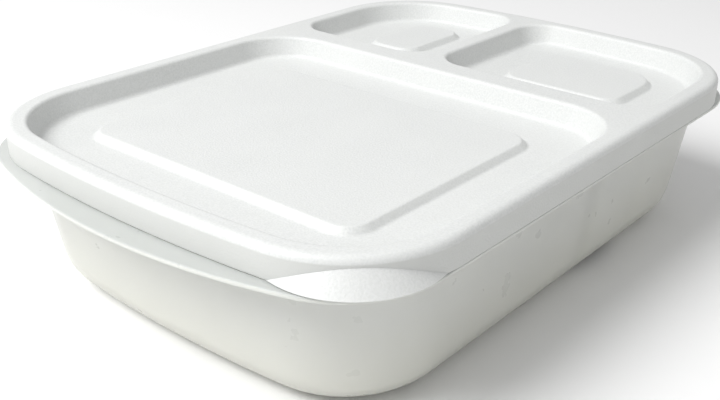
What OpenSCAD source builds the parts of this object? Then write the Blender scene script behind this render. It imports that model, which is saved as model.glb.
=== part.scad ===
// Divided lunch box: a moulded three-compartment tub under one push-fit lid.
// Millimetres, +Z up, X along the long side, the box stands on z = 0.

/* [Box] */
// Length of the lid over the middle of its bowed ends
lid_l = 240; // [225:1:246]
// Width of the lid
lid_w = 177; // [170:1:184]
// Height of the closed box
box_h = 58.5; // [58.5:0.5:75]
// Plan radius of the lid's corners
corner_r = 39.5; // [37:0.5:42]
// Plan radius of the bowed short ends
bow_r = 525; // [450:5:700]
// Thickness of the moulded sheet
wall = 1.2; // [1:0.1:1.3]

/* [Lid] */
// Depth of the skirt below the deck
skirt_h = 9.5; // [9:0.1:9.6]
// Width of the deck between the skirt and the wells
deck_rim = 6.8; // [6.3:0.1:7.3]
// Depth of the wells
well_h = 8; // [7.4:0.1:8.2]
// Height of the raised panels above the well floors
panel_h = 2.2; // [1.8:0.1:2.8]
// How far each lift tab stands out from the skirt
tab_out = 5.2; // [4:0.1:6]

/* [Tub] */
// Height of the top of the carrying flange
flange_z = 48.6; // [46:0.1:48.7]
// Thickness of the carrying flange
flange_t = 1.5; // [1.2:0.1:2]
// Overall length of the flange
flange_l = 256; // [252:1:260]
// Lean of the compartment walls from upright, degrees
tub_lean = 6.3; // [5.5:0.1:8]
// Outside radius of the bottom edge
foot_r = 14.5; // [13:0.5:15]
// How much rounder the corners are at the bottom than at the flange
foot_round = 7.8; // [5:0.1:9]

/* [Compartments] */
// Position of the divider that crosses the box
cross_x = 32.5; // [28:0.25:37]
// Width of the cross divider at its top
cross_w = 7.5; // [7:0.1:7.8]
// Position of the divider between the two small compartments
split_y = 12.5; // [6:0.5:16]
// Width of that divider at its top
split_w = 3.6; // [3.2:0.1:3.8]

/* [Hidden] */
// how far a cut reaches past what it cuts
over = 1;
// clearances between the tub's rim and the deck, and between the lift tabs and the flange
rim_gap = 0.6;
flange_gap = 0.3;
// heights
deck_z = box_h;
skirt_z = deck_z - skirt_h;
well_z = deck_z - well_h;
panel_z = well_z + panel_h;
rim_z = deck_z - wall - rim_gap;
ridge_drop = 0.4;
ridge_z = rim_z - ridge_drop;
under_flange = flange_z - flange_t;
// plan centres shared by every outline that runs parallel to the lid's edge
corner_y = lid_w / 2 - corner_r;
bow_x = lid_l / 2 - bow_r;
corner_x = bow_x + sqrt(pow(bow_r - corner_r, 2) - pow(corner_y, 2));
bow_a = asin(corner_y / (bow_r - corner_r));
// how far a corner's centre moves along x for each millimetre added to its radius
corner_slide = (bow_r - lid_w / 2) / (corner_x - bow_x);
// the lid's rolled edge and its wells
edge_r = 2.4;
well_lean = 20;
well_foot = 2;
well_corner = 13;
well_back_corner = 23;
mouth = 0.9;
cross_land = 11.4;
split_land = 7;
tab_crest_drop = 3;
// the tub's compartments at flange level
ledge = 8.2;
ridge_step = 0.4;
pocket_corner = 22;
cross_half = cross_w / 2 + tan(tub_lean) * (ridge_z - flange_z) + ridge_step;
split_half = split_w / 2 + tan(tub_lean) * (ridge_z - flange_z) + ridge_step;
// the flange has its own, more strongly bowed ends
flange_w = lid_w - 1;
flange_corner = 34;
flange_bow = 215;

// ---------- outlines: closed runs of arcs [x, y, radius, from, to] joined by straight lines ----------
// a sixth value is how far the arc's centre moves in for each millimetre the corner is made rounder

function corner_pp(inset) = [corner_x, corner_y, corner_r - inset, bow_a, 90, [corner_slide, 1]];
function corner_np(inset) = [-corner_x, corner_y, corner_r - inset, 90, 180 - bow_a, [-corner_slide, 1]];
function corner_nn(inset) = [-corner_x, -corner_y, corner_r - inset, 180 + bow_a, 270, [-corner_slide, -1]];
function corner_pn(inset) = [corner_x, -corner_y, corner_r - inset, -90, -bow_a, [corner_slide, -1]];
function bow_n(inset) = [-bow_x, 0, bow_r - inset, 180 - bow_a, 180 + bow_a];
function bow_p(inset, from, to) = [bow_x, 0, bow_r - inset, from, to];

function lid_outline(inset) = [
    corner_pp(inset),
    corner_np(inset),
    bow_n(inset),
    corner_nn(inset),
    corner_pn(inset),
    bow_p(inset, -bow_a, bow_a)
];

function flange_outline() =
    let (
        y = flange_w / 2 - flange_corner,
        middle = flange_l / 2 - flange_bow,
        x = middle + sqrt(pow(flange_bow - flange_corner, 2) - pow(y, 2)),
        a = asin(y / (flange_bow - flange_corner))
    ) [
        [x, y, flange_corner, a, 90],
        [-x, y, flange_corner, 90, 180 - a],
        [-middle, 0, flange_bow, 180 - a, 180 + a],
        [-x, -y, flange_corner, 180 + a, 270],
        [x, -y, flange_corner, -90, -a],
        [middle, 0, flange_bow, -a, a]
    ];

// the large bay fills the box up to x; its two inner corners have radius r
function large_bay(inset, x, r) = [
    corner_np(inset),
    bow_n(inset),
    corner_nn(inset),
    [x - r, inset + r - lid_w / 2, r, -90, 0],
    [x - r, lid_w / 2 - inset - r, r, 0, 90]
];

// angle at the bow's centre, and x, of a corner of radius r whose centre is at y
function bow_angle(inset, r, y) = asin(y / (bow_r - inset - r));
function bow_corner_x(inset, r, y) = bow_x + sqrt(pow(bow_r - inset - r, 2) - pow(y, 2));

// the small bay on the -Y side, from x to the bowed end and up to y
function near_bay(inset, x, y, r) = [
    [x + r, inset + r - lid_w / 2, r, 180, 270],
    corner_pn(inset),
    bow_p(inset, -bow_a, bow_angle(inset, r, y - r)),
    [bow_corner_x(inset, r, y - r), y - r, r, bow_angle(inset, r, y - r), 90],
    [x + r, y - r, r, 90, 180]
];

// the small bay on the +Y side, from x to the bowed end and down to y
function far_bay(inset, x, y, r) = [
    [x + r, y + r, r, 180, 270],
    [bow_corner_x(inset, r, y + r), y + r, r, -90, bow_angle(inset, r, y + r)],
    bow_p(inset, bow_angle(inset, r, y + r), bow_a),
    corner_pp(inset),
    [x + r, lid_w / 2 - inset - r, r, 90, 180]
];

// all three bays, kept `gap` clear of the cross divider's middle and `split_gap` of the other's
function bays(inset, gap, split_gap, back_r, r) = [
    large_bay(inset, cross_x - gap, back_r),
    near_bay(inset, cross_x + gap, split_y - split_gap, r),
    far_bay(inset, cross_x + gap, split_y + split_gap, r)
];

// a rounded rectangle from x0 to x1 and y0 to y1; r goes round from the -X -Y corner
function rounded(x0, x1, y0, y1, r) = [
    [x0 + r[0], y0 + r[0], r[0], 180, 270],
    [x1 - r[1], y0 + r[1], r[1], -90, 0],
    [x1 - r[2], y1 - r[2], r[2], 0, 90],
    [x0 + r[3], y1 - r[3], r[3], 90, 180]
];

// a bow shares its end points with the arcs on either side of it
function is_bow(a) = a[2] > 100;
function arc_steps(a) = ceil((a[4] - a[3]) / (is_bow(a) ? 1.5 : 7.5));
function points(outline, inset, rounder = 0) = [
    for (a = outline)
        let (
            steps = arc_steps(a),
            skip = is_bow(a) ? 1 : 0,
            grow = is_undef(a[5]) ? 0 : rounder,
            centre = is_undef(a[5]) ? [a[0], a[1]] : [a[0], a[1]] - grow * a[5]
        )
            for (i = [skip : steps - skip])
                let (angle = a[3] + (a[4] - a[3]) * i / steps)
                    centre + (a[2] - inset + grow) * [cos(angle), sin(angle)]
];

// ---------- solids ----------

// the convex solid through a stack of layers [inset, height, rounder] of one outline
module loft(outline, layers) {
    count = len(points(outline, 0));
    hull()
        polyhedron(
            points = [
                for (layer = layers, p = points(outline, layer[0], is_undef(layer[2]) ? 0 : layer[2]))
                    [p[0], p[1], layer[1]]
            ],
            faces = [for (k = [0 : len(layers) - 1]) [for (i = [0 : count - 1]) k * count + i]]
        );
}

module plate(outline, bottom, top) {
    translate([0, 0, bottom])
        linear_extrude(top - bottom)
            polygon(points(outline, 0));
}

// layers of a wall that leans in from inset 0 at height `level` to a rounded foot on a floor;
// `out` moves the whole surface outward, and the stack starts at height `top`
function wall_layers(level, lean, floor_z, r, out, top) =
    let (
        steps = 4,
        middle_z = floor_z + r,
        middle_in = tan(lean) * (level - middle_z) + r / cos(lean)
    ) concat(
        [[tan(lean) * (level - top) - out / cos(lean), top]],
        [
            for (i = [0 : steps])
                let (a = lean + (90 - lean) * i / steps)
                    [middle_in - (r + out) * cos(a), middle_z - (r + out) * sin(a)]
        ]
    );

// ---------- lid ----------

wells = bays(deck_rim, cross_land / 2, split_land / 2, well_back_corner, well_corner);

// the raised panels stand this far in from the wells' edges: left, right, near, far
function panel_in(x0, x1, y0, y1, margin, r) =
    rounded(x0 + margin[0], x1 - margin[1], y0 + margin[2], y1 - margin[3], r);

well_x = lid_l / 2 - deck_rim;
well_y = lid_w / 2 - deck_rim;
well_near_x = cross_x - cross_land / 2;
well_far_x = cross_x + cross_land / 2;
panels = [
    panel_in(-well_x, well_near_x, -well_y, well_y, [22.8, 21.5, 21.2, 21.6], [10, 10, 10, 10]),
    panel_in(well_far_x, well_x, -well_y, split_y - split_land / 2, [14.7, 17.2, 18.1, 19.7], [9, 17, 9, 9]),
    panel_in(well_far_x, well_x, split_y + split_land / 2, well_y, [15.8, 16.9, 17.1, 22.4], [9, 9, 12, 9])
];

// layers of the skirt and its rolled edge; `in` moves the surface inward
function cap_layers(in, bottom) = concat(
    [[in, bottom]],
    [
        for (a = [0 : 30 : 90])
            [edge_r - (edge_r - in) * cos(a), deck_z - edge_r + (edge_r - in) * sin(a)]
    ]
);

module cap() {
    difference() {
        loft(lid_outline(0), cap_layers(0, skirt_z));
        loft(lid_outline(0), cap_layers(wall, skirt_z - over));
    }
}

module well_body(outline) {
    loft(outline, wall_layers(deck_z, well_lean, well_z, well_foot, wall, deck_z - wall / 2));
}

module well_void(outline) {
    loft(outline, wall_layers(deck_z, well_lean, well_z, well_foot, 0, deck_z + over));
    loft(outline, [[-mouth, deck_z + over], [-mouth, deck_z], [mouth * tan(well_lean), deck_z - mouth]]);
}

module panel_body(outline) {
    round = 0.5;
    loft(outline, [
        [0, well_z - wall / 2],
        [0, well_z],
        [panel_h - round, panel_z - round],
        [panel_h + round, panel_z]
    ]);
}

module panel_void(outline) {
    side = wall / sin(45);
    low = -wall - over;
    loft(outline, [[side + low, well_z + low], [side + panel_h - wall, panel_z - wall]]);
}

// a flared lens on one corner, to lift the lid by
module lift_tab() {
    reach = 36;
    thick = 1.4;
    lip_z = flange_z + flange_gap;
    crest_z = deck_z - tab_crest_drop;
    shift = (2 * corner_r * tab_out + pow(tab_out, 2)) / (2 * corner_r * (1 - cos(reach)) + 2 * tab_out);
    lip_r = corner_r + tab_out - shift;
    rise = crest_z - lip_z;
    slope = tab_out / rise;
    difference() {
        translate([corner_x + shift * cos(45), corner_y + shift * sin(45), lip_z])
            difference() {
                cylinder(h = rise + over, r1 = lip_r, r2 = lip_r - tab_out - slope * over, $fn = 96);
                translate([0, 0, -over])
                    cylinder(
                        h = rise + 3 * over,
                        r1 = lip_r + slope * over - thick,
                        r2 = lip_r - tab_out - 2 * slope * over - thick,
                        $fn = 96
                    );
            }
        plate(lid_outline(wall / 2), 0, deck_z + over);
    }
}

module lid() {
    color("white")
        difference() {
            union() {
                difference() {
                    union() {
                        cap();
                        for (outline = wells)
                            well_body(outline);
                    }
                    for (outline = wells)
                        well_void(outline);
                }
                for (outline = panels)
                    panel_body(outline);
                for (side = [0, 1])
                    mirror([0, side, 0])
                        mirror([1, 0, 0])
                            lift_tab();
            }
            for (outline = panels)
                panel_void(outline);
        }
}

// ---------- tub ----------

collar_in = 1.8;
// how deep the collar and the dividers are set into the flange
embed = 0.5;
foot_in = foot_r - wall;

function tub_layers(out, top) = [
    for (layer = wall_layers(flange_z, tub_lean, wall, foot_in, out, top))
        [layer[0], layer[1], foot_round * (1 - layer[1] / flange_z)]
];

// the compartments from outside; their outer sides reach past the box's own wall
module bay_bodies() {
    reach = ledge - 3 * wall;
    side = wall / cos(tub_lean);
    for (outline = bays(reach, cross_half - side, split_half - side, pocket_corner, pocket_corner))
        loft(outline, [
            for (layer = tub_layers(wall, flange_z + over))
                [layer[0] + side, layer[1], layer[2]]
        ]);
}

module bay_voids() {
    for (outline = bays(ledge, cross_half, split_half, pocket_corner, pocket_corner))
        loft(outline, tub_layers(0, flange_z + over));
}

// shallow arches where the grooves under the dividers reach the side of the box
module groove_mouths() {
    r = 45;
    drop = 40;
    translate([cross_x, lid_w / 2, -drop])
        rotate([90, 0, 0])
            cylinder(h = lid_w, r = r, $fn = 120);
    translate([cross_x, split_y, -drop])
        rotate([0, 90, 0])
            cylinder(h = lid_l / 2 - cross_x, r = r, $fn = 120);
}

// the hollow between the compartments, open below; there the outer wall ends just off the ground
module underside() {
    layers = tub_layers(0, under_flange);
    floor_in = layers[len(layers) - 1][0];
    lip = 1;
    difference() {
        union() {
            loft(lid_outline(ledge), concat(layers, [[floor_in - lip, -over, foot_round]]));
            groove_mouths();
        }
        bay_bodies();
    }
}

// a straight ridge along +X from 0 to `length`, with its crown of width `top_w` at height `top`
module ridge(length, top_w, bottom, top) {
    spread = tan(tub_lean) * (top - bottom);
    rotate([90, 0, 90])
        linear_extrude(length)
            polygon([
                [top_w / 2, top],
                [-top_w / 2, top],
                [-top_w / 2 - spread, bottom],
                [top_w / 2 + spread, bottom]
            ]);
}

// both dividers, drawn `in` smaller than their outside and ending `end_in` from the lid's edge
module dividers(in, end_in, bottom) {
    narrow = 2 * in * (1 / cos(tub_lean) - tan(tub_lean));
    reach = lid_w / 2 - end_in;
    translate([cross_x, -reach, 0])
        rotate(90)
            ridge(2 * reach, cross_w - narrow, bottom, ridge_z - in);
    translate([cross_x, split_y, 0])
        ridge(lid_l / 2 - end_in - cross_x, split_w - narrow, bottom, ridge_z - in);
}

module collar() {
    difference() {
        plate(lid_outline(collar_in), flange_z - embed, rim_z);
        plate(lid_outline(collar_in + wall), flange_z - over, rim_z + over);
    }
}

module tub() {
    color("gainsboro")
        difference() {
            union() {
                loft(lid_outline(ledge), tub_layers(wall, flange_z - wall / 2));
                plate(flange_outline(), under_flange, flange_z);
                collar();
                dividers(0, collar_in + wall / 2, flange_z - embed);
            }
            bay_voids();
            underside();
            dividers(wall, ledge + wall, under_flange - over);
        }
}

tub();
lid();
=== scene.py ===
import math

import bmesh
import bpy
from mathutils import Matrix, Vector
from mathutils.geometry import tessellate_polygon


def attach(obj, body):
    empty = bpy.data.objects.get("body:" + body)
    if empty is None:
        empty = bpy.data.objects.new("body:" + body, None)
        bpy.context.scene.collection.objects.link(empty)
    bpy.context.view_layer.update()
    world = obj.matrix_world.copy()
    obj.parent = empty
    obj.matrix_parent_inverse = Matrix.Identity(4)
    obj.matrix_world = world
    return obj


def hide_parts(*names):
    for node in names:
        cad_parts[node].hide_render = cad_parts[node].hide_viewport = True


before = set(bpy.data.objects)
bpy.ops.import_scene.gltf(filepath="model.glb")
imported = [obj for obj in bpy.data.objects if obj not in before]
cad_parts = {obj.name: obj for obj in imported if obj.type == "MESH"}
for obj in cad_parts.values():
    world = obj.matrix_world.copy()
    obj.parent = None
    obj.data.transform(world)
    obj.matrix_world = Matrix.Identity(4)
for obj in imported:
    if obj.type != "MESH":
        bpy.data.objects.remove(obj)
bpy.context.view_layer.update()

MM = 0.001

# ---------------------------------------------------------------- dimensions, millimetres
LID_L, LID_W, BOX_H = 240, 177, 58.5
CORNER_R, BOW_R = 39.5, 525
WALL = 1.2

# the skirt and the tab end just above the flange, so that no dark gap shows
SKIRT_Z = 48.7
EDGE_R = 2.4
WELL_Z = BOX_H - 8
WELL_LEAN = 20
WELL_CORNER, WELL_BACK_CORNER = 13, 23
DECK_RIM = 6.8
CROSS_LAND, SPLIT_LAND = 11.4, 7
PANEL_H = 2.2
TAB_OUT, TAB_REACH, TAB_T = 5.2, 36, 1.4
TAB_CREST_Z = BOX_H - 3
TAB_FACING = 225
LIP_ROUND = 0.35

FLANGE_Z, FLANGE_T = 48.6, 1.5
FLANGE_L, FLANGE_CORNER, FLANGE_BOW = 256, 34, 215
TUB_LEAN = 6.3
FOOT_R, FOOT_ROUND = 14.5, 7.8
LEDGE, COLLAR_IN, RIM_Z = 8.2, 1.8, 56.7
RIM_ROUND, FLANGE_ROUND = 0.45, 0.6
CROSS_X, CROSS_W = 32.5, 7.5
SPLIT_Y, SPLIT_W = 12.5, 3.6
RIDGE_STEP = 0.4
POCKET_CORNER, POCKET_MOUTH_CORNER = 22, 3.5
ARCH_R, ARCH_DROP = 45, 40

TUB_TAN = math.tan(math.radians(TUB_LEAN))
WALL_OUT = WALL / math.cos(math.radians(TUB_LEAN))
# how far a divider's side leans out between its crown and the flange
RIDGE_RUN = TUB_TAN * (RIM_Z - FLANGE_Z)
# how far each floor runs flat before it is filled
FLOOR_FLAT = 2
CROSS_HALF = CROSS_W / 2 + RIDGE_RUN + RIDGE_STEP
SPLIT_HALF = SPLIT_W / 2 + RIDGE_RUN + RIDGE_STEP

# an arc of a larger radius than this is a bow
SMALLEST_BOW = 100
CORNER_STEPS, BOW_STEPS, BEND_STEPS = 20, 24, 5
TAB_STEPS, ARCH_STEPS, FLOOR_STEPS = 48, 96, 24
# sharper edges than this many degrees stay sharp
CREASE = 32


# ---------------------------------------------------------------- outlines: arcs (x, y, radius, from, to)
def bow_angle(bow_r, r, y):
    """Angle at a bow's centre of a corner of radius r that touches the bow, centred at y."""
    return math.degrees(math.asin(y / (bow_r - r)))


def bow_offset(bow_r, r, y):
    """How far that corner's centre is from the bow's centre along X."""
    return math.sqrt((bow_r - r) ** 2 - y**2)


CORNER_Y = LID_W / 2 - CORNER_R
BOW_X = LID_L / 2 - BOW_R
CORNER_X = BOW_X + bow_offset(BOW_R, CORNER_R, CORNER_Y)


def lid_outline(inset, rounder=0):
    """The lid's edge moved inward, with its corners made rounder."""
    r = CORNER_R + rounder
    y = LID_W / 2 - r
    x = BOW_X + bow_offset(BOW_R, r, y)
    return four_corners(x, y, r - inset, BOW_X, BOW_R - inset, bow_angle(BOW_R, r, y))


def flange_outline():
    y = (LID_W - 1) / 2 - FLANGE_CORNER
    middle = FLANGE_L / 2 - FLANGE_BOW
    x = middle + bow_offset(FLANGE_BOW, FLANGE_CORNER, y)
    return four_corners(x, y, FLANGE_CORNER, middle, FLANGE_BOW, bow_angle(FLANGE_BOW, FLANGE_CORNER, y))


def four_corners(x, y, r, bow_x, bow_r, a):
    return [
        (x, y, r, a, 90),
        (-x, y, r, 90, 180 - a),
        (-bow_x, 0, bow_r, 180 - a, 180 + a),
        (-x, -y, r, 180 + a, 270),
        (x, -y, r, -90, -a),
        (bow_x, 0, bow_r, -a, a),
    ]


def bays(inset, cross_gap, split_gap, back_r, r, rounder=0):
    """The three compartments' outlines, clear of the dividers' middles by the two gaps."""
    side, bow_r = LID_W / 2 - inset, BOW_R - inset
    corner_x, corner_y, corner_r, bow_a, _ = lid_outline(inset, rounder)[0]
    x0, x1 = CROSS_X - cross_gap, CROSS_X + cross_gap
    y0, y1 = SPLIT_Y - split_gap - r, SPLIT_Y + split_gap + r
    large = [
        (-corner_x, corner_y, corner_r, 90, 180 - bow_a),
        (-BOW_X, 0, bow_r, 180 - bow_a, 180 + bow_a),
        (-corner_x, -corner_y, corner_r, 180 + bow_a, 270),
        (x0 - back_r, back_r - side, back_r, -90, 0),
        (x0 - back_r, side - back_r, back_r, 0, 90),
    ]
    near = [
        (x1 + r, r - side, r, 180, 270),
        (corner_x, -corner_y, corner_r, -90, -bow_a),
        (BOW_X, 0, bow_r, -bow_a, bow_angle(bow_r, r, y0)),
        (BOW_X + bow_offset(bow_r, r, y0), y0, r, bow_angle(bow_r, r, y0), 90),
        (x1 + r, y0, r, 90, 180),
    ]
    far = [
        (x1 + r, y1, r, 180, 270),
        (BOW_X + bow_offset(bow_r, r, y1), y1, r, -90, bow_angle(bow_r, r, y1)),
        (BOW_X, 0, bow_r, bow_angle(bow_r, r, y1), bow_a),
        (corner_x, corner_y, corner_r, bow_a, 90),
        (x1 + r, side - r, r, 90, 180),
    ]
    return [large, near, far]


def rounded(x0, x1, y0, y1, r):
    """A rounded rectangle; the radii go round from the -X -Y corner."""
    return [
        (x0 + r[0], y0 + r[0], r[0], 180, 270),
        (x1 - r[1], y0 + r[1], r[1], -90, 0),
        (x1 - r[2], y1 - r[2], r[2], 0, 90),
        (x0 + r[3], y1 - r[3], r[3], 90, 180),
    ]


def trace(outline, inset):
    """Points of an outline, moved inward; a bow shares its ends with its neighbours."""
    path = []
    for x, y, r, start, end in outline:
        bow = r > SMALLEST_BOW
        steps = BOW_STEPS if bow else CORNER_STEPS
        for i in range(bow, steps + 1 - bow):
            a = math.radians(start + (end - start) * i / steps)
            path.append((x + (r - inset) * math.cos(a), y + (r - inset) * math.sin(a)))
    return path


# ---------------------------------------------------------------- profiles: points (inset, height)
def turn_of(a, b):
    return math.atan2(a.x * b.y - a.y * b.x, a.dot(b))


def rounded_line(points, radii):
    """A polyline whose inner corners are rounded to the given radii."""
    pts = [Vector(p) for p in points]
    line = [pts[0]]
    for before, here, after, r in zip(pts, pts[1:], pts[2:], radii):
        a, b = (here - before).normalized(), (after - here).normalized()
        turn = turn_of(a, b)
        side = math.copysign(1, turn)
        start = here - a * r * math.tan(abs(turn) / 2)
        centre = start + Vector((-a.y, a.x)) * r * side
        arm = start - centre
        for i in range(BEND_STEPS + 1):
            t = turn * i / BEND_STEPS
            line.append(centre + Vector((
                arm.x * math.cos(t) - arm.y * math.sin(t),
                arm.x * math.sin(t) + arm.y * math.cos(t),
            )))
    line.append(pts[-1])
    return line


def moved(points, radii, by):
    """The same polyline moved to its left by a distance, with its radii kept concentric."""
    pts = [Vector(p) for p in points]
    ways = [(b - a).normalized() for a, b in zip(pts, pts[1:])]
    left = [Vector((-w.y, w.x)) for w in ways]
    new, new_r = [pts[0] + left[0] * by], []
    for here, a, b, la, lb, r in zip(pts[1:], ways, ways[1:], left, left[1:], radii):
        turn = turn_of(a, b)
        new.append(here + (la + lb) * by / (1 + la.dot(lb)))
        new_r.append(r - by * math.copysign(1, turn))
    new.append(pts[-1] + left[-1] * by)
    return new, new_r


# ---------------------------------------------------------------- mesh building
class Mesh:
    def __init__(self):
        self.bm = bmesh.new()

    def rings(self, outline, line):
        """A ring of vertices for each (inset, height); the outline may depend on the height."""
        rings = []
        for u, z in line:
            arcs = outline(z) if callable(outline) else outline
            rings.append([self.bm.verts.new((x * MM, y * MM, z * MM)) for x, y in trace(arcs, u)])
        return rings

    def join(self, rings, closed=True):
        for a, b in zip(rings, rings[1:]):
            for i in range(len(a) if closed else len(a) - 1):
                j = (i + 1) % len(a)
                self.bm.faces.new((a[i], a[j], b[j], b[i]))

    def loft(self, outline, line):
        rings = self.rings(outline, line)
        self.join(rings)
        return rings[0], rings[-1]

    def fill(self, outer, holes=()):
        """A flat face inside one ring and round the others."""
        loops = [outer, *holes]
        verts = [v for loop in loops for v in loop]
        for tri in tessellate_polygon([[v.co for v in loop] for loop in loops]):
            if len(set(tri)) == 3:
                self.bm.faces.new([verts[i] for i in tri])

    def done(self, name):
        bmesh.ops.recalc_face_normals(self.bm, faces=self.bm.faces)
        mesh = bpy.data.meshes.new(name)
        self.bm.to_mesh(mesh)
        self.bm.free()
        piece = bpy.data.objects.new(name, mesh)
        bpy.context.scene.collection.objects.link(piece)
        return piece


def flattened(piece):
    """Replaces a piece's mesh by what its modifiers make of it."""
    evaluated = piece.evaluated_get(bpy.context.evaluated_depsgraph_get())
    mesh = bpy.data.meshes.new_from_object(evaluated)
    piece.modifiers.clear()
    old, piece.data = piece.data, mesh
    bpy.data.meshes.remove(old)


def smooth(piece):
    piece.data.shade_smooth()
    piece.data.set_sharp_from_angle(angle=math.radians(CREASE))
    even = piece.modifiers.new("even", "WEIGHTED_NORMAL")
    even.keep_sharp = True
    even.weight = 80
    flattened(piece)


def cut(piece, tool, operation="DIFFERENCE"):
    knife = piece.modifiers.new("cut", "BOOLEAN")
    knife.operation, knife.solver, knife.object = operation, "EXACT", tool
    flattened(piece)
    bpy.data.objects.remove(tool, do_unlink=True)


# ---------------------------------------------------------------- lid
def panel_outlines():
    well_x, well_y = LID_L / 2 - DECK_RIM, LID_W / 2 - DECK_RIM
    near_x, far_x = CROSS_X - CROSS_LAND / 2, CROSS_X + CROSS_LAND / 2
    low_y, high_y = SPLIT_Y - SPLIT_LAND / 2, SPLIT_Y + SPLIT_LAND / 2
    return [
        inside(-well_x, near_x, -well_y, well_y, (22.8, 21.5, 21.2, 21.6), (10, 10, 10, 10)),
        inside(far_x, well_x, -well_y, low_y, (14.7, 17.2, 18.1, 19.7), (9, 17, 9, 9)),
        inside(far_x, well_x, high_y, well_y, (15.8, 16.9, 17.1, 22.4), (9, 9, 12, 9)),
    ]


def inside(x0, x1, y0, y1, margin, r):
    """A rounded rectangle this far in from each side of another: left, right, near, far."""
    return rounded(x0 + margin[0], x1 - margin[1], y0 + margin[2], y1 - margin[3], r)


def lid_side(mesh, by):
    """One side of the lid's sheet, `by` below its upper side. Returns the skirt's lower ring."""
    well_run = (BOX_H - WELL_Z) * math.tan(math.radians(WELL_LEAN))
    skirt = moved([(0, SKIRT_Z + LIP_ROUND), (0, BOX_H), (EDGE_R + 0.4, BOX_H)], [EDGE_R], -by)
    panel_z = WELL_Z + PANEL_H
    mouth_flat, foot_flat, panel_flat = 1.4, 1.8, 1.2
    slope = moved(
        [(-mouth_flat, BOX_H), (0, BOX_H), (well_run, WELL_Z), (well_run + foot_flat, WELL_Z)],
        [1.6, 2],
        -by,
    )
    bevel = moved(
        [(-panel_flat, WELL_Z), (0, WELL_Z), (PANEL_H, panel_z), (PANEL_H + panel_flat, panel_z)],
        [1.5, 1.3],
        -by,
    )
    foot, deck = mesh.loft(lid_outline(0), rounded_line(*skirt))
    mouths = []
    wells = bays(DECK_RIM, CROSS_LAND / 2, SPLIT_LAND / 2, WELL_BACK_CORNER, WELL_CORNER)
    for well, panel in zip(wells, panel_outlines()):
        mouth, floor = mesh.loft(well, rounded_line(*slope))
        base, top = mesh.loft(panel, rounded_line(*bevel))
        mesh.fill(floor, [base])
        mesh.fill(top)
        mouths.append(mouth)
    mesh.fill(deck, mouths)
    return foot


def lift_tab(mesh):
    """A flared lens on the -X -Y corner, let into the skirt."""
    reach = math.radians(TAB_REACH)
    shift = (2 * CORNER_R * TAB_OUT + TAB_OUT**2) / (
        2 * CORNER_R * (1 - math.cos(reach)) + 2 * TAB_OUT
    )
    lip_r = CORNER_R + TAB_OUT - shift
    slope = TAB_OUT / (TAB_CREST_Z - SKIRT_Z)
    root = CORNER_R - WALL / 2
    loops = []
    for i in range(TAB_STEPS + 1):
        t = reach * (2 * i / TAB_STEPS - 1)
        lip = shift * math.cos(t) + math.sqrt(lip_r**2 - (shift * math.sin(t)) ** 2)
        top = math.sqrt(root**2 + shift**2 - 2 * root * shift * math.cos(t))
        top_z = SKIRT_Z + (lip_r - top) / slope
        under = max(lip - TAB_T, root)
        under_z = max(SKIRT_Z, top_z - TAB_T / slope)
        soft = min(LIP_ROUND, (lip - under) / 3)
        profile = [
            (under, SKIRT_Z),
            (lip - soft, SKIRT_Z),
            (lip, SKIRT_Z + soft),
            (root, top_z),
            (root, under_z),
        ]
        a = math.radians(TAB_FACING) + t
        loops.append([
            mesh.bm.verts.new((
                (u * math.cos(a) - CORNER_X) * MM,
                (u * math.sin(a) - CORNER_Y) * MM,
                z * MM,
            ))
            for u, z in profile
        ])
    mesh.join(loops)
    for end in (loops[0], loops[-1]):
        mesh.bm.faces.new(end)


def make_lid():
    mesh = Mesh()
    outer = lid_side(mesh, 0)
    inner = lid_side(mesh, WALL)
    lip_out = mesh.rings(lid_outline(0), [(LIP_ROUND, SKIRT_Z)])[0]
    lip_in = mesh.rings(lid_outline(0), [(WALL - LIP_ROUND, SKIRT_Z)])[0]
    mesh.join([outer, lip_out, lip_in, inner])
    lift_tab(mesh)
    piece = mesh.done("lid_shell")
    smooth(piece)
    return piece


# ---------------------------------------------------------------- tub
def rounder_at(z):
    """How much rounder the tub's corners are at a height than at the flange."""
    return FOOT_ROUND * (1 - z / FLANGE_Z)


def body_outline(z):
    return lid_outline(LEDGE, rounder_at(z))


def bay_outline(index, inset, cross_gap, split_gap):
    """One compartment's outline as a function of height."""
    return lambda z: bays(inset, cross_gap, split_gap, POCKET_CORNER, POCKET_CORNER, rounder_at(z))[index]


def solid(name, outline, line):
    mesh = Mesh()
    top, bottom = mesh.loft(outline, line)
    mesh.fill(top)
    mesh.fill(bottom)
    return mesh.done(name)


def bend_length(r):
    """How far along the floor a foot's bend of radius r reaches from the wall's own corner."""
    return r * math.tan(math.radians(45 - TUB_LEAN / 2))


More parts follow.
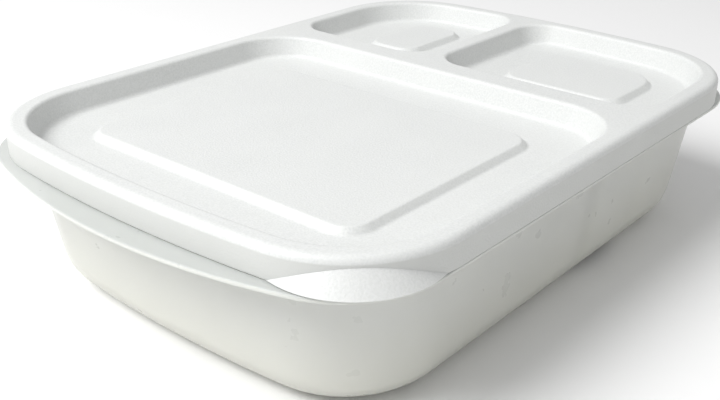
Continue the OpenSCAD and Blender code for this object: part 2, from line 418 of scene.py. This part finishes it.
def make_tub():
    mesh = Mesh()
    # the collar's outer side, from its rounded rim down to the flange
    rim, collar_foot = mesh.loft(
        lid_outline(COLLAR_IN),
        rounded_line([(0.7, RIM_Z), (0, RIM_Z), (0, FLANGE_Z), (-0.8, FLANGE_Z)], [RIM_ROUND, 0.5]),
    )
    # the flange's rounded edge
    under_z = FLANGE_Z - FLANGE_T
    flange_top, flange_under = mesh.loft(
        flange_outline(),
        rounded_line(
            [(1.2, FLANGE_Z), (0, FLANGE_Z), (0, under_z), (1.2, under_z)],
            [FLANGE_ROUND, FLANGE_ROUND],
        ),
    )
    mesh.fill(flange_top, [collar_foot])
    # the outer wall and its foot
    floor_in = TUB_TAN * FLANGE_Z - WALL_OUT
    floor_end = floor_in + bend_length(FOOT_R) + FLOOR_FLAT
    start = TUB_TAN * FLANGE_T - WALL_OUT
    wall_top, bottom = mesh.loft(
        body_outline,
        rounded_line(
            [(start - 1.6, under_z), (start, under_z), (floor_in, 0), (floor_end, 0)],
            [1, FOOT_R],
        ),
    )
    mesh.fill(flange_under, [wall_top])
    mesh.fill(bottom)
    # inside: pockets down to the ledge, then the compartments
    mouth_r = POCKET_MOUTH_CORNER
    pockets = bays(COLLAR_IN + WALL, CROSS_W / 2, SPLIT_W / 2, mouth_r, mouth_r)
    inner_foot = FOOT_R - WALL
    floor_run = TUB_TAN * (FLANGE_Z - WALL)
    inner_end = floor_run + bend_length(inner_foot) + FLOOR_FLAT
    mouths = []
    for index, pocket in enumerate(pockets):
        mouth, ledge = mesh.loft(
            pocket,
            rounded_line(
                [(-0.6, RIM_Z), (0, RIM_Z), (RIDGE_RUN, FLANGE_Z), (RIDGE_RUN + 0.25, FLANGE_Z)],
                [RIM_ROUND, 0.2],
            ),
        )
        edge, floor = mesh.loft(
            bay_outline(index, LEDGE, CROSS_HALF, SPLIT_HALF),
            rounded_line(
                [(-0.1, FLANGE_Z), (0, FLANGE_Z), (floor_run, WALL), (inner_end, WALL)],
                [0.1, inner_foot],
            ),
        )
        mesh.fill(ledge, [edge])
        mesh.fill(floor)
        mouths.append(mouth)
    mesh.fill(rim, mouths)
    piece = mesh.done("tub_shell")
    cut(piece, groove_tool())
    smooth(piece)
    return piece


def groove_tool():
    """The hollow between the compartments and under the dividers, open below."""
    under_z = FLANGE_Z - FLANGE_T
    foot = FOOT_R - WALL
    corner = TUB_TAN * (FLANGE_Z - WALL)
    end = corner + bend_length(foot)
    line = rounded_line([(TUB_TAN * FLANGE_T, under_z), (corner, WALL), (end, WALL)], [foot])
    # both shapes turn down at the end of their bend and go on below the ground
    core_tuck, core_low, bay_tuck, bay_low = 1.2, -1, 0.3, -2
    core = solid("core", body_outline, [*line[:-1], (end - core_tuck, core_low)])
    for arch in groove_arches():
        cut(core, arch, "UNION")
    gaps = (LEDGE - 3 * WALL, CROSS_HALF - WALL_OUT, SPLIT_HALF - WALL_OUT)
    floor_in = TUB_TAN * FLANGE_Z - WALL_OUT
    floor_end = floor_in + bend_length(FOOT_R) + FLOOR_FLAT
    body = rounded_line([(-TUB_TAN - WALL_OUT, FLANGE_Z + 1), (floor_in, 0), (floor_end, 0)], [FOOT_R])
    low = [(u + WALL_OUT, z) for u, z in body]
    for index in range(3):
        line = [*low[:-1], (low[-1][0] - bay_tuck, bay_low)]
        bay = solid("bay", bay_outline(index, *gaps), line)
        cut(core, bay)
    return core


def groove_arches():
    """Two shallow arches where the grooves reach the side of the tub."""
    arches = []
    for (x0, y0), across, length in (
        ((CROSS_X, -LID_W / 2), "X", LID_W),
        ((CROSS_X, SPLIT_Y), "Y", LID_L / 2 - CROSS_X),
    ):
        mesh = Mesh()
        rings = []
        for t in (0, length):
            ring = []
            for i in range(ARCH_STEPS):
                a = 2 * math.pi * i / ARCH_STEPS
                side, up = ARCH_R * math.cos(a), ARCH_R * math.sin(a) - ARCH_DROP
                x, y = (x0 + side, y0 + t) if across == "X" else (x0 + t, y0 + side)
                ring.append(mesh.bm.verts.new((x * MM, y * MM, up * MM)))
            rings.append(ring)
        mesh.join(rings)
        mesh.fill(rings[0])
        mesh.fill(rings[1])
        arches.append(mesh.done("arch"))
    return arches


# ---------------------------------------------------------------- materials
def new_material(name):
    mat = bpy.data.materials.new(name)
    mat.use_nodes = True
    nodes, links = mat.node_tree.nodes, mat.node_tree.links
    return mat, nodes, links, nodes["Principled BSDF"]


def place(nodes):
    return nodes.get("Texture Coordinate") or nodes.new("ShaderNodeTexCoord")


def noise(nodes, links, scale, detail=4):
    tex = nodes.new("ShaderNodeTexNoise")
    tex.inputs["Scale"].default_value = scale
    tex.inputs["Detail"].default_value = detail
    links.new(place(nodes).outputs["Object"], tex.inputs["Vector"])
    return tex.outputs["Fac"]


def upright(nodes, links, output):
    """The Z part of a texture coordinate: the height in metres, or how far a face looks up."""
    split = nodes.new("ShaderNodeSeparateXYZ")
    links.new(place(nodes).outputs[output], split.inputs["Vector"])
    return split.outputs["Z"]


def spread(nodes, links, value, start, end, low, high):
    """Maps a value from one range to another, held at both ends."""
    tex = nodes.new("ShaderNodeMapRange")
    tex.inputs["From Min"].default_value = start
    tex.inputs["From Max"].default_value = end
    tex.inputs["To Min"].default_value = low
    tex.inputs["To Max"].default_value = high
    links.new(value, tex.inputs["Value"])
    return tex.outputs["Result"]


def blend(nodes, links, factor, first, second):
    """Mixes two colours; each may be a value or another node's output."""
    mix = nodes.new("ShaderNodeMix")
    mix.data_type = "RGBA"
    for socket, colour in (("A", first), ("B", second)):
        if isinstance(colour, tuple):
            mix.inputs[socket].default_value = (*colour, 1)
        else:
            links.new(colour, mix.inputs[socket])
    links.new(factor, mix.inputs["Factor"])
    return mix.outputs["Result"]


def grain(nodes, links, shader, value, strength, depth):
    bump = nodes.new("ShaderNodeBump")
    bump.inputs["Strength"].default_value = strength
    bump.inputs["Distance"].default_value = depth
    links.new(value, bump.inputs["Height"])
    links.new(bump.outputs["Normal"], shader.inputs["Normal"])


def lid_plastic():
    """White moulded plastic with a fine satin grain, with painted shade that makes its upright faces, the
    skirt's, a little greyer.
    """
    mat, nodes, links, shader = new_material("lid_plastic")
    cloud = spread(nodes, links, noise(nodes, links, 28, 3), 0.3, 0.7, 0, 1)
    fine = noise(nodes, links, 1500, 2)
    speck = spread(nodes, links, fine, 0.35, 0.65, 0, 1)
    white = blend(nodes, links, cloud, (0.67, 0.685, 0.675), (0.70, 0.712, 0.70))
    grainy = blend(nodes, links, speck, white, (0.74, 0.75, 0.74))
    # painted shade: faces that look sideways, mostly the skirt's, are mixed toward a darker grey
    skirt = spread(nodes, links, upright(nodes, links, "Normal"), 0.2, 0, 0, 1)
    links.new(blend(nodes, links, skirt, grainy, (0.62, 0.63, 0.61)), shader.inputs["Base Color"])
    rough = spread(nodes, links, noise(nodes, links, 60), 0.3, 0.7, 0.38, 0.5)
    links.new(rough, shader.inputs["Roughness"])
    grain(nodes, links, shader, fine, 0.5, 0.0002)
    shader.inputs["Subsurface Weight"].default_value = 0.12
    shader.inputs["Subsurface Radius"].default_value = (1, 1, 0.9)
    shader.inputs["Subsurface Scale"].default_value = 0.002
    return mat


def tub_plastic():
    """Milky plastic: warmer where it is thick near the foot, and darker from the flange's top upward,
    painted shade for a flange that is shaded and lets light through.
    """
    mat, nodes, links, shader = new_material("tub_plastic")
    cloud = spread(nodes, links, noise(nodes, links, 22, 3), 0.3, 0.7, 0, 1)
    milk = blend(nodes, links, cloud, (0.80, 0.81, 0.77), (0.84, 0.85, 0.805))
    low = spread(nodes, links, upright(nodes, links, "Object"), 0.034, 0.008, 0, 0.8)
    warm = blend(nodes, links, low, milk, (0.87, 0.87, 0.78))
    # painted shade: from just below the flange's top upward the colour is mixed toward a darker grey
    start, end = (FLANGE_Z - 0.5) * MM, (FLANGE_Z - 0.1) * MM
    top = spread(nodes, links, upright(nodes, links, "Object"), start, end, 0, 1)
    links.new(blend(nodes, links, top, warm, (0.58, 0.60, 0.59)), shader.inputs["Base Color"])
    rough = spread(nodes, links, noise(nodes, links, 80), 0.3, 0.7, 0.26, 0.4)
    links.new(rough, shader.inputs["Roughness"])
    grain(nodes, links, shader, noise(nodes, links, 350, 2), 0.15, 0.0002)
    shader.inputs["Subsurface Weight"].default_value = 0.3
    shader.inputs["Subsurface Radius"].default_value = (1, 1, 0.9)
    shader.inputs["Subsurface Scale"].default_value = 0.004
    shader.inputs["Alpha"].default_value = 0.7
    return mat


# ---------------------------------------------------------------- floor, light and camera
def make_floor():
    """A sheet of pale paper, flat under the box and curving up behind it."""
    size, bend, back, top = 3.0, 0.6, 2.4, 2.5
    mesh = Mesh()
    rows = []
    for i in range(FLOOR_STEPS + 1):
        a = math.radians(90 * i / FLOOR_STEPS)
        rows.append((back + bend * math.sin(a), bend * (1 - math.cos(a))))
    line = [(-size, 0), *rows, (back + bend, top)]
    loops = [[mesh.bm.verts.new((s * size, y, z)) for s in (-1, 1)] for y, z in line]
    mesh.join(loops, closed=False)
    floor = mesh.done("floor")
    floor.data.shade_smooth()
    floor.rotation_euler[2] = math.radians(-50)
    floor.location[2] = -0.00005
    mat, nodes, links, shader = new_material("paper")
    paper = blend(nodes, links, noise(nodes, links, 6), (0.9, 0.9, 0.9), (0.92, 0.92, 0.92))
    links.new(paper, shader.inputs["Base Color"])
    shader.inputs["Roughness"].default_value = 0.9
    floor.data.materials.append(mat)


def area_light(name, spot, aim, size, power):
    lamp = bpy.data.lights.new(name, "AREA")
    lamp.shape, lamp.size, lamp.energy = "DISK", size, power
    holder = bpy.data.objects.new(name, lamp)
    holder.location = spot
    holder.rotation_euler = (Vector(aim) - Vector(spot)).to_track_quat("-Z", "Y").to_euler()
    bpy.context.scene.collection.objects.link(holder)


def make_light():
    area_light("key", (-0.8, 0.35, 1.1), (0, 0, 0.03), 0.9, 18.5)
    world = bpy.data.worlds.new("studio")
    world.use_nodes = True
    world.node_tree.nodes["Background"].inputs["Color"].default_value = (1, 1, 1, 1)
    world.node_tree.nodes["Background"].inputs["Strength"].default_value = 0.5
    bpy.context.scene.world = world
    bpy.context.scene.view_settings.view_transform = "Standard"


def make_camera():
    data = bpy.data.cameras.new("camera")
    camera = bpy.data.objects.new("camera", data)
    spot, aim = Vector((-0.26606, -0.21441, 0.17273)), Vector((-0.06007, -0.04819, 0.04008))
    roll = math.radians(0.878)
    camera.location = spot
    look = (aim - spot).to_track_quat("-Z", "Y").to_matrix()
    camera.rotation_euler = (look @ Matrix.Rotation(roll, 3, "Z")).to_euler()
    data.sensor_width, data.lens = 36, 49.21
    data.shift_x, data.shift_y = -0.0373, 0.0374
    data.clip_start = 0.01
    bpy.context.scene.collection.objects.link(camera)
    bpy.context.scene.camera = camera


make_floor()
make_light()
make_camera()

lid = make_lid()
lid.data.materials.append(lid_plastic())
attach(lid, "lid")
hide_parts("lid")

tub = make_tub()
tub.data.materials.append(tub_plastic())
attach(tub, "tub")
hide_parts("tub")
